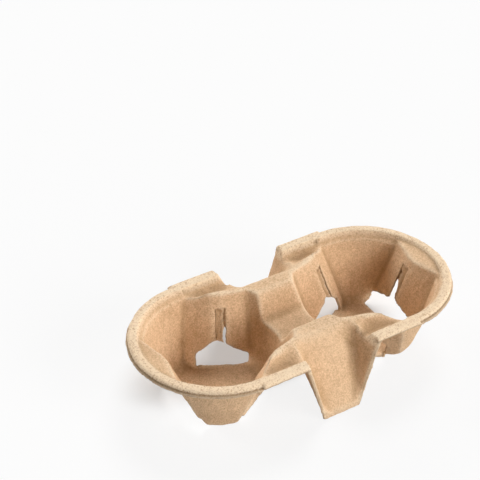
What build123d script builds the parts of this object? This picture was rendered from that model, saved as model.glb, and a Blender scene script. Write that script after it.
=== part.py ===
# Carrier for two cups, moulded in one piece from paper pulp.
# X runs along the carrier, Y across it, Z up. The origin is on the ground under its middle.
# The sheet is made as its mould makes it: the space under the upper face, less the space under
# the lower face, with both faces built by the same functions one wall apart.

from build123d import *
import os
from math import cos, radians, sin, tan

# Outline
carrier_length = 215.0  # over the rolled rim
end_width = 107.0  # across the rounded ends
side_width = 111.0  # across the straight sides, where the rolled edge stands prouder
side_length = 112.0  # of that prouder edge
rim_height = 47.0
wall = 2.2

# Rolled rim
rim_round = 2.6
inner_rim_round = 0.4  # of the same bend on the underside
end_skirt_depth = 4.4  # below the rim, round the ends
side_skirt_depth = 2.6
lip_width = 0.7  # trimmed lip round the ends, past the skirt
lip_thickness = 1.1
groove_depth = 1.2  # between the rolled edge and the lip
groove_height = 1.4

# Cup pockets
pocket_floor_radius = 30.5
pocket_draft = 18.5  # degrees from the upright
pocket_floor_round = 6.5
mouth_radius = 47.8
mouth_depth = 4.5  # of the flare under the rim
mouth_draft = 32.0
mouth_back = 12.0  # the flare ends here behind the pocket's axis, in the inner fingers

# Fingers that stand into each pocket and grip the cup
finger_turn = 60.0  # from the carrier's middle line to the two inner fingers
finger_lean = 24.0
finger_reach = 36.0  # from the pocket's axis to the crest at the ledge
end_face_angle = 77.5  # between an end finger's own axis and each of its faces, in plan
inner_face_angle = 74.0
finger_crest_width = 6.5
finger_crest_round = 2.0
ledge_height = 44.2  # top of the end fingers at their crest
ledge_slope = 8.0

# Openings below the fingers
end_opening_reach = 18.0  # edge of the floor, from the pocket's axis
end_opening_top = 17.0  # where the crest ends
end_opening_shoulder = 8.5  # where the faces end beside the pocket's wall
end_opening_half = 23.5
inner_opening_reach = 24.5
inner_opening_top = 20.5
inner_opening_shoulder = 9.0
inner_opening_half = 20.0  # towards the carrier's middle
outer_opening_shoulder = 10.5
outer_opening_half = 12.5  # towards the carrier's end
arch_set_back = 0.25  # of the wall, from the upper face's arch to the lower face's

# Slits down the crests
slit_width = 1.2
end_slit_foot_width = 4.8
inner_slit_foot_width = 2.4
slit_offset = 5.5  # from the middle of the finger
slit_top_height = 38.5
slit_open_height = 27.0  # above this the tear is a groove that doesn't go through
slit_groove_depth = 1.1
slit_foot_height = 15.0  # inside the opening below
torn_strip_width = 6.5  # of the rough sunken strip beside each slit
torn_strip_depth = 0.6

# Valley between the pockets
valley_floor_height = 31.5
valley_floor_half = 11.0
valley_top_half = 19.5
valley_round = 4.0
valley_edge_round = 6.0

# Notch and sloping panel in the middle of each long side
notch_top_half = 24.6
notch_foot_half = 10.3
notch_flare = 10.0  # degrees that its sides open outwards, seen from above
panel_top_y = 31.0  # from the middle line, at rim height
panel_foot_height = 4.0  # where the panel turns down into its upright lip
panel_round = 5.0
plateau_round = 8.0  # of the plateau's edge above the panel
plateau_edge_reach = 12.0
plateau_edge_slope = 5.0
flange_width = 0.4  # of the trimmed edge beside each panel

# Gutter between the plateau and the rim, beside each notch
gutter_inner = (22.0, 40.5, 5.5)  # x, y and depth below the rim
gutter_inner_radius = 8.5
gutter_outer = (51.0, 43.5, 4.5)
gutter_outer_radius = 4.5

# Worked out from the sizes above
pocket_x = (carrier_length - end_width) / 2
reach = 2 * carrier_length  # longer than anything it has to cut
above = 10.0  # how far the hollows reach past the rim
below = 20.0  # how far the outline and the arches reach under the ground
skirt_foot = rim_height - end_skirt_depth
valley_reach = 0.75 * pocket_x  # each way from the middle, past both pockets' walls
notch_sunk = 2 * wall  # how far the notches reach under the ground


def half_space(point, normal):
    """Everything on the side of the point that the normal points to."""
    return Plane(origin=point, z_dir=normal) * Box(
        reach, reach, reach, align=(Align.CENTER, Align.CENTER, Align.MIN)
    )


def end_arch():
    """The opening under an end finger, seen along the finger."""
    half = end_opening_half
    return Polygon(
        (-half, -below),
        (half, -below),
        (half, end_opening_shoulder),
        (0, end_opening_top),
        (-half, end_opening_shoulder),
        align=None,
    )


def inner_arch():
    """The opening under an inner finger, seen along it with the carrier's end on its left."""
    return Polygon(
        (-outer_opening_half, -below),
        (inner_opening_half, -below),
        (inner_opening_half, inner_opening_shoulder),
        (0, inner_opening_top),
        (-outer_opening_half, outer_opening_shoulder),
        align=None,
    )


def outline_block(depth):
    """The carrier's outline, filled up to its rim, with the rim's outer edge rounded."""
    top = rim_height - depth
    ends = SlotOverall(carrier_length - 2 * depth, end_width - 2 * depth)
    sides = Rectangle(side_length - 2 * depth, side_width - 2 * depth)
    edge = max(rim_round - depth, inner_rim_round)
    blocks = []
    for outline in (ends, sides):
        block = extrude(Pos(0, 0, -below - depth) * outline, top + below + depth)
        blocks.append(fillet(block.faces().sort_by(Axis.Z)[-1].edges(), edge))
    return blocks[0] + blocks[1]


def finger(depth, face_angle, arch, ledge):
    """One finger, pointing back to the pocket's axis from +X. A ledge caps an end finger."""
    lean = radians(finger_lean)
    crest_x = finger_reach - ledge_height * tan(lean)
    half = finger_crest_width / 2
    run = rim_height
    spread = half + run * tan(radians(face_angle))
    plan = Polygon(
        (crest_x, -half), (crest_x, half), (crest_x + run, spread), (crest_x + run, -spread), align=None
    )
    if depth:
        plan = offset(plan, -depth / cos(lean), kind=Kind.INTERSECTION)
        arch = offset(arch, -arch_set_back * depth, kind=Kind.INTERSECTION)
    if depth < finger_crest_round:
        plan = fillet(plan.vertices().sort_by(Axis.X)[:2], finger_crest_round - depth)
    solid = extrude(plan, (rim_height + above) / cos(lean), dir=(sin(lean), 0, cos(lean)))
    if ledge:
        slope = radians(ledge_slope)
        top = (finger_reach, 0, ledge_height - depth / cos(slope))
        solid -= half_space(top, (-sin(slope), 0, cos(slope)))
    return solid - extrude(Plane.YZ * arch, reach)


def pocket(depth):
    """The hollow for one cup, with its far end towards +X, centred on its own axis."""
    draft = tan(radians(pocket_draft))
    out = depth / cos(radians(pocket_draft))
    floor = wall - depth
    foot_radius = pocket_floor_radius - depth * draft + out
    height = rim_height + above - floor
    hollow = Pos(0, 0, floor) * Cone(
        foot_radius, foot_radius + height * draft, height, align=(Align.CENTER, Align.CENTER, Align.MIN)
    )
    hollow = fillet(hollow.edges().sort_by(Axis.Z)[0], pocket_floor_round + depth)
    flare = tan(radians(mouth_draft))
    flare_out = depth / cos(radians(mouth_draft))
    mouth = Pos(0, 0, rim_height - mouth_depth - depth) * Cone(
        mouth_radius + flare_out - (mouth_depth + depth) * flare,
        mouth_radius + flare_out + above * flare,
        mouth_depth + depth + above,
        align=(Align.CENTER, Align.CENTER, Align.MIN),
    )
    hollow += mouth & half_space((-mouth_back, 0, 0), (1, 0, 0))
    hollow -= finger(depth, end_face_angle, end_arch(), True)
    inner = Rot(0, 0, 180 - finger_turn) * finger(depth, inner_face_angle, inner_arch(), False)
    hollow -= inner
    hollow -= mirror(inner, Plane.XZ)
    return hollow


def valley(depth):
    """The dip between the two pockets, with the plateaus' rounded edges above it."""
    rise = rim_height - valley_floor_height
    slope = (valley_top_half - valley_floor_half) / rise
    out = depth * (1 + slope**2) ** 0.5
    floor = valley_floor_height - depth
    top = rim_height - depth
    foot = valley_floor_half + out - slope * depth
    corner = foot + slope * (top - floor)
    back = corner + plateau_edge_reach
    lift = plateau_edge_reach * tan(radians(plateau_edge_slope))
    ceiling = rim_height + above
    half = Polygon(
        (0, floor),
        (foot, floor),
        (corner, top),
        (back, top + lift),
        (back, ceiling),
        (0, ceiling),
        align=None,
    )
    half = fillet(half.vertices().sort_by_distance((foot, floor, 0))[0], valley_round + depth)
    half = fillet(half.vertices().sort_by_distance((corner, top, 0))[0], valley_edge_round - depth)
    profile = half + mirror(half, Plane.YZ)
    return extrude(Plane.YZ.offset(-valley_reach) * profile, 2 * valley_reach)


def notch(depth):
    """The notch in the +Y side: the plateau's rounded edge and the sloping panel below it."""
    edge = side_width / 2
    run = edge - panel_top_y
    rise = rim_height - panel_foot_height
    slant = (run**2 + rise**2) ** 0.5
    top = rim_height - depth
    corner = panel_top_y - depth * (slant - run) / rise
    foot = corner + (top + notch_sunk) * run / rise
    lift = plateau_edge_reach * tan(radians(plateau_edge_slope))
    back = corner - plateau_edge_reach
    ceiling = rim_height + above
    profile = Polygon(
        (corner, top),
        (foot, -notch_sunk),
        (side_width, -notch_sunk),
        (side_width, ceiling),
        (back, ceiling),
        (back, top + lift),
        align=None,
    )
    profile = fillet(profile.vertices().sort_by_distance((corner, top, 0))[0], plateau_round - depth)
    solid = extrude(Plane.YZ.offset(-side_length / 2) * profile, side_length)
    taper = (notch_top_half - notch_foot_half) / rim_height
    for side in (1, -1):
        normal = Vector(side, -tan(radians(notch_flare)), -taper).normalized()
        solid -= half_space(Vector(side * notch_foot_half, edge, 0) + normal * depth, normal)
    panel = solid.faces().sort_by_distance((0, (corner + foot) / 2, (top - notch_sunk) / 2))[0]
    bend = solid.faces().filter_by(GeomType.CYLINDER)[0]
    creases = [e for face in (panel, bend) for e in face.edges() if abs((e @ 1 - e @ 0).X) < e.length / 2]
    return fillet(creases, panel_round + depth)


def gutter(depth):
    """The hollow beside the notch, on the +X +Y quarter."""
    x0, y0, depth0 = gutter_inner
    x1, y1, depth1 = gutter_outer
    start = Vector(x0, y0, rim_height + gutter_inner_radius - depth0)
    end = Vector(x1, y1, rim_height + gutter_outer_radius - depth1)
    plane = Plane(origin=start, z_dir=end - start)
    return plane * Cone(
        gutter_inner_radius + depth,
        gutter_outer_radius + depth,
        (end - start).length,
        align=(Align.CENTER, Align.CENTER, Align.MIN),
    )


def all_four(tool):
    """A tool on the +X +Y quarter, with its copies on the other three."""
    right = [tool, mirror(tool, Plane.XZ)]
    return right + [mirror(t, Plane.YZ) for t in right]


def under_face(depth):
    """All the space under the sheet's upper face, sunk by the given depth."""
    body = outline_block(depth)
    right = Pos(pocket_x, 0, 0) * pocket(depth)
    body -= right
    body -= mirror(right, Plane.YZ)
    body -= valley(depth)
    cut = notch(depth)
    for tool in [cut, mirror(cut, Plane.XZ)] + all_four(gutter(depth)):
        body -= tool
    return body


def trim():
    """What is cut away under the rim: all but the space inside the skirt and behind the notches."""
    outside = Pos(0, 0, skirt_foot) * Box(
        reach, reach, 3 * rim_height, align=(Align.CENTER, Align.CENTER, Align.MAX)
    )
    inside = SlotOverall(carrier_length - 2 * wall, end_width - 2 * wall) + Rectangle(
        side_length - 2 * wall, side_width - 2 * wall
    )
    outside -= extrude(Pos(0, 0, -2 * rim_height) * inside, 4 * rim_height)
    sides = Box(side_length, reach, end_skirt_depth) - Box(reach, side_width - 2 * wall, end_skirt_depth)
    outside += Pos(0, 0, rim_height - side_skirt_depth - end_skirt_depth / 2) * sides
    foot = notch_foot_half + wall + flange_width
    top = foot + notch_top_half - notch_foot_half
    panel = Polygon((-foot, 0), (foot, 0), (top, rim_height), (-top, rim_height), align=None)
    outside -= extrude(Plane.XZ.offset(-reach / 2) * panel, reach)
    return outside


def end_ring(inner_grow, outer_grow, height):
    """A ring that follows the rounded ends, outside the prouder straight sides."""
    outer = SlotOverall(carrier_length + 2 * outer_grow, end_width + 2 * outer_grow)
    inner = SlotOverall(carrier_length + 2 * inner_grow, end_width + 2 * inner_grow)
    ring = extrude(outer - inner, height)
    return ring - Box(side_length, reach, reach)


def openings():
    """The openings under the three fingers of the pocket centred on the origin."""
    end = extrude(Plane.YZ.offset(end_opening_reach) * end_arch(), mouth_radius - end_opening_reach)
    inner_run = mouth_radius - inner_opening_reach
    inner = extrude(Plane.YZ.offset(inner_opening_reach) * inner_arch(), inner_run)
    inner = Rot(0, 0, 180 - finger_turn) * inner
    return [end, inner, mirror(inner, Plane.XZ)]


def before_crest(depth):
    """Everything in front of a plane this deep in a finger's crest."""
    lean = radians(finger_lean)
    inward = Vector(cos(lean), 0, -sin(lean))
    return half_space(Vector(finger_reach, 0, ledge_height) + inward * depth, -inward)


def slit(foot_width, face_angle):
    """A torn slit on the +Y side of the crest of a finger that points back from +X."""
    near = slit_offset + slit_width / 2
    far = near - slit_width
    drop = (slit_offset - finger_crest_width / 2) / tan(radians(face_angle))
    spread = (foot_width - slit_width) * (slit_top_height - slit_open_height) / slit_top_height
    groove = Polygon(
        (near, slit_top_height),
        (far, slit_top_height),
        (far - spread, slit_open_height),
        (near, slit_open_height),
        align=None,
    )
    gap = Polygon(
        (near, slit_open_height),
        (far - spread, slit_open_height),
        (near - foot_width, slit_foot_height),
        (near, slit_foot_height),
        align=None,
    )
    strip = Polygon(
        (near, slit_top_height),
        (near - torn_strip_width, slit_top_height),
        (near - torn_strip_width, slit_foot_height),
        (near, slit_foot_height),
        align=None,
    )
    run = finger_reach + 2 * wall
    tool = extrude(Plane.YZ * gap, run)
    tool += extrude(Plane.YZ * groove, run) & before_crest(drop + slit_groove_depth)
    tool += extrude(Plane.YZ * strip, run) & before_crest(torn_strip_depth)
    return tool


def main():
    os.makedirs("parts", exist_ok=True)
    sheet = under_face(0) - under_face(wall)
    sheet -= trim()
    groove = end_ring(-groove_depth, lip_width, groove_height)
    sheet -= Pos(0, 0, skirt_foot + lip_thickness) * groove
    sheet += Pos(0, 0, skirt_foot) * end_ring(-wall / 2, lip_width, lip_thickness)
    for tool in openings():
        right = Pos(pocket_x, 0, 0) * tool
        sheet -= right
        sheet -= mirror(right, Plane.YZ)
    wide = slit(end_slit_foot_width, end_face_angle)
    left = slit(inner_slit_foot_width, inner_face_angle)
    right = mirror(left, Plane.XZ)
    for side, turn, cut in (
        (1, 0, wide),
        (1, 180 - finger_turn, right),
        (1, 180 + finger_turn, left),
        (-1, 180, mirror(wide, Plane.XZ)),
        (-1, finger_turn, right),
        (-1, -finger_turn, left),
    ):
        sheet -= Pos(side * pocket_x, 0, 0) * Rot(0, 0, turn) * cut
    export_step(sheet, "parts/moulded_tray.step")


main()
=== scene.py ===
import bmesh
import bpy
import numpy as np
from mathutils import Matrix, Vector, noise


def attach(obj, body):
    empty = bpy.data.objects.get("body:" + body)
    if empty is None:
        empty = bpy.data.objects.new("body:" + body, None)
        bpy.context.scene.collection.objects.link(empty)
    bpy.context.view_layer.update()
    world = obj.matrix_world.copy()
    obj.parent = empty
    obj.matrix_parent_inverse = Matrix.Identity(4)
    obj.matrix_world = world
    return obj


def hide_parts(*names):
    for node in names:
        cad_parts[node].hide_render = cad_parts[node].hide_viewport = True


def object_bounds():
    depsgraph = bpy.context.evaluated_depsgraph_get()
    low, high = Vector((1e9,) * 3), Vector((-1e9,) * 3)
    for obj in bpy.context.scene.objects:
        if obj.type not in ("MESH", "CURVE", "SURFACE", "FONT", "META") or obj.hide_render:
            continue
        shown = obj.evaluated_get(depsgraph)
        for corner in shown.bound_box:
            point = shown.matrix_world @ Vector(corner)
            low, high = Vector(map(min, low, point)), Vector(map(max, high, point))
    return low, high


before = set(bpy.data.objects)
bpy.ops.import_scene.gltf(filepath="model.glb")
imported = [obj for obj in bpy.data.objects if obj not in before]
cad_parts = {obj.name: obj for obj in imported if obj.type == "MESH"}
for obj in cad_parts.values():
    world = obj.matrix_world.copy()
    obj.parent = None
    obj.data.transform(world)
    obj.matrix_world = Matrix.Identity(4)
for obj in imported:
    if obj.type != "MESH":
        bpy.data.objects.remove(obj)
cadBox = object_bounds()
print("frame loaded")


# The camera stands where the photograph was taken from
view = {
    "eye": (-0.4420, -0.6401, 0.6609),
    "aim": (0.0232, 0.0973, 0.0250),
    "roll": 0.0038,
    "lens": 122.5,
    "sensor": 36.0,
}


def placeCamera(view):
    data = bpy.data.cameras.new("camera")
    data.lens = view["lens"]
    data.sensor_width = view["sensor"]
    camera = bpy.data.objects.new("camera", data)
    bpy.context.collection.objects.link(camera)
    eye = Vector(view["eye"])
    turn = (Vector(view["aim"]) - eye).to_track_quat("-Z", "Y").to_matrix().to_4x4()
    camera.matrix_world = Matrix.Translation(eye) @ turn @ Matrix.Rotation(view["roll"], 4, "Z")
    bpy.context.scene.camera = camera


placeCamera(view)
print("camera placed")


# Shader maths: sockets that can be added, taken away and multiplied in plain expressions
class Value:
    def __init__(self, recipe, socket):
        self.recipe = recipe
        self.socket = socket

    def maths(self, operation, *inputs):
        return self.recipe.node("Math", {"operation": operation}, dict(enumerate(inputs)))

    def __add__(self, other):
        return self.maths("ADD", self, other)

    def __radd__(self, other):
        return self.maths("ADD", other, self)

    def __sub__(self, other):
        return self.maths("SUBTRACT", self, other)

    def __rsub__(self, other):
        return self.maths("SUBTRACT", other, self)

    def __mul__(self, other):
        return self.maths("MULTIPLY", self, other)

    def __rmul__(self, other):
        return self.maths("MULTIPLY", other, self)

    # 0 up to the low value, 1 from the high one, and an easy slope between
    def between(self, low, high):
        settings = {"interpolation_type": "SMOOTHSTEP"}
        return self.recipe.node("MapRange", settings, {0: self, 1: low, 2: high})


# The nodes of a material or of the world
class Recipe:
    def __init__(self, owner, shader):
        owner.use_nodes = True
        self.owner = owner
        self.tree = owner.node_tree
        self.shader = self.tree.nodes[shader]

    def node(self, kind, settings, sockets, output=0):
        node = self.tree.nodes.new("ShaderNode" + kind)
        for name, value in settings.items():
            setattr(node, name, value)
        for key, value in sockets.items():
            if isinstance(value, Value):
                self.tree.links.new(value.socket, node.inputs[key])
            else:
                node.inputs[key].default_value = value
        return Value(self, node.outputs[output])

    def grain(self, place, scale, detail, rough):
        sockets = {"Vector": place, "Scale": scale, "Detail": detail, "Roughness": rough}
        return self.node("TexNoise", {}, sockets)

    def blend(self, mask, first, second):
        return self.node("Mix", {"data_type": "RGBA"}, {0: mask, 6: first, 7: second}, 2)

    def feed(self, **sockets):
        for name, value in sockets.items():
            socket = self.shader.inputs[name.replace("_", " ")]
            if isinstance(value, Value):
                self.tree.links.new(value.socket, socket)
            else:
                socket.default_value = value

    # 1 for rays that come from the camera, straight or by way of a glossy surface
    def looking(self):
        gloss = self.node("LightPath", {}, {}, "Is Glossy Ray")
        return self.node("LightPath", {}, {}, "Is Camera Ray") + gloss

    # Lays another shader over the main one, as far as the share says
    def cover(self, share, other, output):
        plain = Value(self, self.shader.outputs[0])
        both = self.node("MixShader", {}, {0: share, 1: plain, 2: other})
        self.tree.links.new(both.socket, self.tree.nodes[output].inputs["Surface"])


# Floor, backdrop and light
studio = {
    "white": (1.0, 1.0, 1.0, 1.0),
    "floorHalf": 3.0,
    "floorColor": (0.86, 0.86, 0.86, 1.0),
    "floorRoughness": 0.9,
    "floorGloss": 0.1,
    "floorGlow": (0.3, 0.86),  # how much of it shows plain white, under the tray and away
    "shadeSize": (0.100, 0.040),  # half length and half width of the shaded floor
    "shadeBack": 0.028,  # how far behind the tray's middle it lies
    "shadeFade": (0.75, 1.15),  # where it starts to end and has ended, in shares of its size
    "skyColor": (1.0, 0.95, 0.88, 1.0),
    "skyStrength": 0.04,
    "lamps": {  # the direction that each shines from, its strength, and how soft it is
        "front": ((0.4, -0.79, 0.45), 1.6, 0.45),
        "skim": ((0.14, -0.97, 0.21), 0.9, 0.45),
        "back": ((0.45, 0.4, 0.8), 1.8, 0.45),
        "low": ((-0.52, 0.78, 0.34), 1.4, 0.45),
    },
}


def paintFloor(studio):
    paint = Recipe(bpy.data.materials.new("paleFloor"), "Principled BSDF")
    paint.feed(
        Base_Color=studio["floorColor"],
        Roughness=studio["floorRoughness"],
        Specular_IOR_Level=studio["floorGloss"],
    )
    halfLength, halfWidth = studio["shadeSize"]
    shade = {
        "Vector": paint.node("TexCoord", {}, {}, "Object"),
        "Scale": (1 / halfLength, 1 / halfWidth, 0),
        "Location": (0, -studio["shadeBack"] / halfWidth, 0),
    }
    shrunk = paint.node("Mapping", {}, shade)
    distance = paint.node("VectorMath", {"operation": "LENGTH"}, {0: shrunk}, "Value")
    away = distance.between(*studio["shadeFade"])
    under, beyond = studio["floorGlow"]
    glow = paint.node("Emission", {}, {"Color": studio["white"], "Strength": 1.0})
    paint.cover(paint.looking() * (under + away * (beyond - under)), glow, "Material Output")
    return paint.owner


def makeFloor(studio):
    mesh = bpy.data.meshes.new("floor")
    bm = bmesh.new()
    bmesh.ops.create_grid(bm, x_segments=1, y_segments=1, size=studio["floorHalf"])
    bm.to_mesh(mesh)
    bm.free()
    floor = bpy.data.objects.new("floor", mesh)
    bpy.context.collection.objects.link(floor)
    mesh.materials.append(paintFloor(studio))


# The sky lights the tray softly, and shows white
def makeSky(studio):
    world = bpy.data.worlds.new("studio")
    bpy.context.scene.world = world
    sky = Recipe(world, "Background")
    sky.feed(Color=studio["skyColor"], Strength=studio["skyStrength"])
    white = sky.node("Background", {}, {"Color": studio["white"]})
    sky.cover(sky.looking(), white, "World Output")


def hangLamps(studio):
    for name, (direction, strength, softness) in studio["lamps"].items():
        data = bpy.data.lights.new(name + "Lamp", "SUN")
        data.energy = strength
        data.angle = softness
        lamp = bpy.data.objects.new(name + "Lamp", data)
        lamp.rotation_euler = Vector(direction).to_track_quat("Z", "Y").to_euler()
        bpy.context.collection.objects.link(lamp)


makeFloor(studio)
makeSky(studio)
hangLamps(studio)
bpy.context.scene.view_settings.view_transform = "Standard"
print("studio lit")


# The tray's skin, grown over the fixed frame: soft moulded edges, an uneven wall and torn cuts
tray = {
    "weld": 0.000001,
    "plug": (0.0222, 0.0366, 0.0430),  # a lump that fills the pit where gutter and notch meet
    "plugSize": (0.0026, 0.0042, 0.0024),
    "plugDetail": 3,
    "voxel": 0.00062,
    "edgeSearch": 12,  # rounds of averaging that find the cut edges
    "edgeShares": (0.3, 0.7),  # of the point itself and of its neighbours in each round
    "cutMean": 0.86,  # the faces round a cut edge point so many ways that their mean is shorter
    "cutRange": 0.3,
    "ease": 0.5,  # how far one round of smoothing moves a point
    "foldSmoothing": 16,  # rounds away from the cut edges
    "cornerSmoothing": 80,  # and more again around the plugs
    "cornerReach": 0.0095,
    "cornerFade": 2.5,
    "pocketPlace": 0.054,
    "rimStart": 0.0455,  # from the pockets' middles, where the rim keeps its lip and line
    "rimFoot": 0.0405,
    "rimFade": (0.002, 0.001),
    "rimLine": (0.0512, 0.0433, 0.0454),  # the groove between the rim's roll and its lip, which gets a painted shadow line
    "rimLineShadow": 0.6,
    "rimSmoothing": 0.02,
    "rimTearing": 0.3,
    "rimWearAndHighlight": 1.0,
    # each slit's pocket, the turn of its finger, and the side of the finger that it is on
    "slits": ((1, 0, 1), (1, 120, -1), (1, 240, 1), (-1, 180, -1), (-1, 60, -1), (-1, -60, 1)),
    "slitSpan": (0.0047, 0.0063),  # beside the middle of its finger
    "slitFade": 0.0003,
    "stripSpan": (-0.0004, 0.0061),
    "stripReach": 0.020,
    "stripFoot": 0.010,
    "stripTop": 0.0385,
    "stripTearing": 0.8,
    "maskFade": 0.0006,
    "creaseSearch": 7,  # rounds of averaging that find the hollows and ridges
    "creaseRange": 0.00022,
    "cavitySearch": 45,  # and rounds that find the deep corners, which get painted shade
    "cavityRange": 0.0011,
    "cavityStart": 0.1,
    "underStart": 0.5,
    "underSlope": 6,
    "waveSize": 0.016,
    "waveDepth": 0.0003,
    "lumpSize": 0.0042,
    "lumpDepth": 0.00022,
    "lumpShift": (7, 3, 5),  # keeps one noise from following another
    "tearFrom": 0.05,
    "tearSize": 0.0018,
    "tearDepth": 0.0006,
    "tearShift": (3, 9, 1),
    "ragSize": 0.0055,
    "ragDepth": 0.0008,
    "ragShift": (1, 4, 8),
    "margin": 0.00002,  # kept inside the frame's box
    "triangles": 196000,
}


def above(values, level, fade):
    return np.clip((values - level) / fade, 0, 1)


def within(values, low, high, fade):
    return above(values, low, fade) * np.clip((high - values) / fade, 0, 1)


def readRows(items, name, width, kind=np.float64):
    values = np.empty(len(items) * width, dtype=kind)
    items.foreach_get(name, values)
    return values.reshape(-1, width)


def meanOfNeighbours(values, ends):
    count = len(values)
    total = np.zeros((count, 3))
    for axis in range(3):
        total[:, axis] += np.bincount(ends[:, 0], values[ends[:, 1], axis], count)
        total[:, axis] += np.bincount(ends[:, 1], values[ends[:, 0], axis], count)
    shares = np.bincount(ends.ravel(), minlength=count)
    return total / shares[:, None]


def spread(values, ends, rounds):
    for _ in range(rounds):
        values = meanOfNeighbours(values, ends)
    return values


def soften(places, ends, ease, rounds):
    for _ in range(rounds):
        places += ease[:, None] * (meanOfNeighbours(places, ends) - places)


# Finishes a modifier and keeps its result as the piece's mesh
def reshape(piece, kind, settings):
    modifier = piece.modifiers.new(kind.lower(), kind)
    for name, value in settings.items():
        setattr(modifier, name, value)
    bpy.context.view_layer.update()
    finished = piece.evaluated_get(bpy.context.evaluated_depsgraph_get())
    shaped = bpy.data.meshes.new_from_object(finished)
    piece.modifiers.clear()
    old = piece.data
    piece.data = shaped
    bpy.data.meshes.remove(old)
    shaped.name = piece.name


# One even skin over the frame's tray and the plugs
def castSkin(tray):
    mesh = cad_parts["moulded_tray"].data.copy()
    bm = bmesh.new()
    bm.from_mesh(mesh)
    bmesh.ops.remove_doubles(bm, verts=bm.verts, dist=tray["weld"])
    size = Matrix.Diagonal((*tray["plugSize"], 1))
    for mirror in ((1, 1, 1), (1, -1, 1), (-1, 1, 1), (-1, -1, 1)):
        spot = Matrix.Translation(Vector(tray["plug"]) * Vector(mirror)) @ size
        bmesh.ops.create_icosphere(bm, subdivisions=tray["plugDetail"], radius=1.0, matrix=spot)
    bm.to_mesh(mesh)
    bm.free()
    mesh.materials.clear()
    piece = bpy.data.objects.new("pulpTray", mesh)
    bpy.context.collection.objects.link(piece)
    reshape(piece, "REMESH", {"mode": "VOXEL", "voxel_size": tray["voxel"]})
    return piece


def findCuts(normals, ends, tray):
    own, others = tray["edgeShares"]
    mean = normals.copy()
    for _ in range(tray["edgeSearch"]):
        mean = own * mean + others * meanOfNeighbours(mean, ends)
    length = np.linalg.norm(mean, axis=1)
    return np.clip((tray["cutMean"] - length) / tray["cutRange"], 0, 1)


# How much of each point lies in a slit, which gets a painted shadow, and how much in the torn
# strip beside one
def findStrips(places, tray):
    fade = tray["maskFade"]
    shadowLine = np.zeros(len(places))
    strip = np.zeros(len(places))
    for side, turn, hand in tray["slits"]:
        along, back = np.cos(np.radians(turn)), np.sin(np.radians(turn))
        x = places[:, 0] - side * tray["pocketPlace"]
        y = places[:, 1]
        out = within(x * along + y * back, tray["stripReach"], 2 * tray["stripReach"], fade)
        height = within(places[:, 2], tray["stripFoot"], tray["stripTop"], fade)
        across = hand * (y * along - x * back)
        shadowLine = np.maximum(shadowLine, out * height * within(across, *tray["slitSpan"], tray["slitFade"]))
        strip = np.maximum(strip, out * height * within(across, *tray["stripSpan"], fade))
    return shadowLine, strip


# Smooths the skin and finds where it is cut, torn and bent, where deep corners and lines get
# painted shade, and where ridges and the rim get wear with painted highlight
def shapeSkin(places, normals, ends, tray):
    torn = findCuts(normals, ends, tray)
    shadowLine, strip = findStrips(places, tray)
    height = places[:, 2]
    outward = np.hypot(np.maximum(np.abs(places[:, 0]) - tray["pocketPlace"], 0), places[:, 1])
    # the rim's groove gets a painted shadow line too, like the slits
    lineStart, lineFoot, lineTop = tray["rimLine"]
    fade = tray["maskFade"]
    line = tray["rimLineShadow"] * above(outward, lineStart, fade)
    shadowLine = np.maximum(shadowLine, line * within(height, lineFoot, lineTop, fade))

    corner = np.linalg.norm(np.abs(places) - tray["plug"], axis=1) / tray["cornerReach"]
    corner = np.clip(tray["cornerFade"] - tray["cornerFade"] * corner, 0, 1)
    outFade, upFade = tray["rimFade"]
    rim = above(outward, tray["rimStart"], outFade) * above(height, tray["rimFoot"], upFade)
    rim *= 1 - corner
    torn = np.maximum(torn, tray["stripTearing"] * strip) * (1 - corner)
    ease = tray["ease"] * (1 - torn) * (1 - rim * (1 - tray["rimSmoothing"]))
    torn *= 1 - rim * (1 - tray["rimTearing"])
    soften(places, ends, ease, tray["foldSmoothing"])
    soften(places, ends, tray["ease"] * corner, tray["cornerSmoothing"])

    around = spread(places, ends, tray["creaseSearch"])
    bend = ((around - places) * normals).sum(axis=1) / tray["creaseRange"]
    # a wider reach finds the deep corners, which get painted shade
    around = spread(around, ends, tray["cavitySearch"])
    depth = ((around - places) * normals).sum(axis=1) / tray["cavityRange"]
    return {
        "torn": torn,
        "under": np.clip(tray["underStart"] - normals[:, 2] * tray["underSlope"], 0, 1),
        "hollow": np.clip(bend, 0, 1),
        "cavityShadow": np.clip(depth - tray["cavityStart"], 0, 1),
        "ridge": np.maximum(np.clip(-bend, 0, 1), tray["rimWearAndHighlight"] * rim),
        "shadowLine": shadowLine,
        "strip": strip,
    }


# An uneven wall everywhere, and rags along the cuts. noise_vector takes its offsets from the
# clock unless noise.seed_set is called, so the rags come out differently in each run
def roughen(places, normals, torn, tray):
    lumpShift = Vector(tray["lumpShift"])
    tearShift = Vector(tray["tearShift"])
    ragShift = Vector(tray["ragShift"])
    for i in range(len(places)):
        place = Vector(places[i])
        wave = noise.noise(place / tray["waveSize"]) * tray["waveDepth"]
        lump = noise.noise(place / tray["lumpSize"] + lumpShift) * tray["lumpDepth"]
        places[i] += normals[i] * (wave + lump)
        if torn[i] > tray["tearFrom"]:
            tear = noise.noise_vector(place / tray["tearSize"] + tearShift) * tray["tearDepth"]
            rag = noise.noise_vector(place / tray["ragSize"] + ragShift) * tray["ragDepth"]
            places[i] += np.array(tear + rag) * torn[i]


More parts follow.
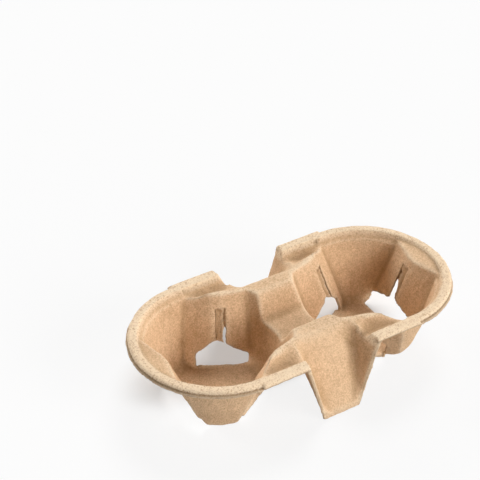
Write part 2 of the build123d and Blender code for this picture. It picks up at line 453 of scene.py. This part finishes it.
def growTray(tray):
    piece = castSkin(tray)
    skin = piece.data
    ends = readRows(skin.edges, "vertices", 2, np.int64)
    normals = readRows(skin.vertices, "normal", 3)
    places = readRows(skin.vertices, "co", 3)
    masks = shapeSkin(places, normals, ends, tray)
    roughen(places, normals, masks["torn"], tray)
    low = np.array(cadBox[0]) + tray["margin"]
    high = np.array(cadBox[1]) - tray["margin"]
    skin.vertices.foreach_set("co", np.clip(places, low, high).ravel())
    skin.update()
    for name, values in masks.items():
        skin.attributes.new(name, "FLOAT", "POINT").data.foreach_set("value", values)
    # The skin is all squares, of two triangles each
    reshape(piece, "DECIMATE", {"ratio": tray["triangles"] / (2 * len(skin.polygons))})
    faces = piece.data.polygons
    faces.foreach_set("use_smooth", [True] * len(faces))
    print("tray grown with", len(faces), "faces")
    return piece


# The pulp's colours and grain
pulp = {
    "pale": (0.93, 0.65, 0.408, 1.0),
    "deep": (0.62, 0.392, 0.218, 1.0),
    # the colour of dark flecks, also used for the painted shadow in the slits and the rim's groove
    "fleck": (0.34, 0.195, 0.095, 1.0),
    # the colour of torn edges, also used for the painted shade in deep corners and creases
    "torn": (0.42, 0.235, 0.10, 1.0),
    # the pale colour of wear on ridges and the rim, which also serves as a painted highlight
    "wornAndHighlight": (1.0, 0.80, 0.57, 1.0),
    "clouds": (38.0, 3.0, 0.5),  # the scale, detail and roughness of each grain
    "mottle": (300.0, 3.0, 0.5),
    "fibre": (950.0, 3.0, 0.7),
    "speck": (1300.0, 2.0, 0.5),
    "toneShares": (0.3, 0.15, 0.55),  # of clouds, mottle and fibre in the tone
    "toneRange": (0.33, 0.65),
    "fleckRange": (0.6, 0.72),
    "fleckShade": (0.25, 0.4),  # on smooth pulp, and what coarse pulp adds
    "cavityPaintedShade": 0.58,
    "wearAndHighlightRange": (0.3, 0.55),
    "wearAndHighlightStrength": 0.85,
    "hollowPaintedShade": (0.35, 0.35),  # even, and along the fibres
    "tornRange": (0.35, 0.6),
    "tornShade": (0.85, 0.4),  # at the cuts, and how much less in the strips
    "linePaintedShadow": 0.85,
    "mottleRelief": 0.5,
    "fibreRelief": (0.45, 1.0),  # on smooth pulp, and what coarse pulp adds
    "speckRelief": (0.2, 0.8),
    "roughness": 0.93,
    "gloss": 0.2,
    "bumpDistance": 0.0008,
    "bumpStrength": 1.0,
}


def mixPulp(pulp):
    paste = Recipe(bpy.data.materials.new("mouldedPulp"), "Principled BSDF")
    place = paste.node("TexCoord", {}, {}, "Object")
    clouds, mottle, fibre, speck = (
        paste.grain(place, *pulp[name]) for name in ("clouds", "mottle", "fibre", "speck")
    )
    torn, under, hollow, cavityShadow, ridge, shadowLine, strip = (
        paste.node("Attribute", {"attribute_name": name}, {}, "Fac")
        for name in ("torn", "under", "hollow", "cavityShadow", "ridge", "shadowLine", "strip")
    )
    coarse = (under + torn + hollow).between(0, 1)

    cloudShare, mottleShare, fibreShare = pulp["toneShares"]
    tone = clouds * cloudShare + mottle * mottleShare + fibre * fibreShare
    color = paste.blend(tone.between(*pulp["toneRange"]), pulp["deep"], pulp["pale"])
    smooth, extra = pulp["fleckShade"]
    flecks = speck.between(*pulp["fleckRange"]) * (smooth + coarse * extra)
    color = paste.blend(flecks, color, pulp["fleck"])
    # painted shade in the deep corners
    color = paste.blend(cavityShadow * pulp["cavityPaintedShade"], color, pulp["torn"])
    # paler pulp on ridges and the rim's top: partly wear, partly painted highlight
    wearAndHighlight = ridge * fibre.between(*pulp["wearAndHighlightRange"]) * pulp["wearAndHighlightStrength"]
    color = paste.blend(wearAndHighlight, color, pulp["wornAndHighlight"])
    # painted shade in the creases
    even, alongFibres = pulp["hollowPaintedShade"]
    color = paste.blend(hollow * (even + fibre * alongFibres), color, pulp["torn"])
    atCuts, lessInStrips = pulp["tornShade"]
    rags = torn * fibre.between(*pulp["tornRange"]) * (atCuts - strip * lessInStrips)
    color = paste.blend(rags, color, pulp["torn"])
    # painted shadow in the slits and along the rim's groove
    color = paste.blend(shadowLine * pulp["linePaintedShadow"], color, pulp["fleck"])

    fibreSmooth, fibreExtra = pulp["fibreRelief"]
    speckSmooth, speckExtra = pulp["speckRelief"]
    height = mottle * pulp["mottleRelief"] + fibre * (fibreSmooth + coarse * fibreExtra)
    height = height + speck * (speckSmooth + coarse * speckExtra)
    bump = {"Strength": pulp["bumpStrength"], "Distance": pulp["bumpDistance"], "Height": height}
    paste.feed(
        Base_Color=color,
        Roughness=pulp["roughness"],
        Specular_IOR_Level=pulp["gloss"],
        Normal=paste.node("Bump", {}, bump),
    )
    return paste.owner


pulpTray = growTray(tray)
pulpTray.data.materials.append(mixPulp(pulp))
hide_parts("moulded_tray")
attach(pulpTray, "root")
print("tray finished")


bpy.context.view_layer.update()
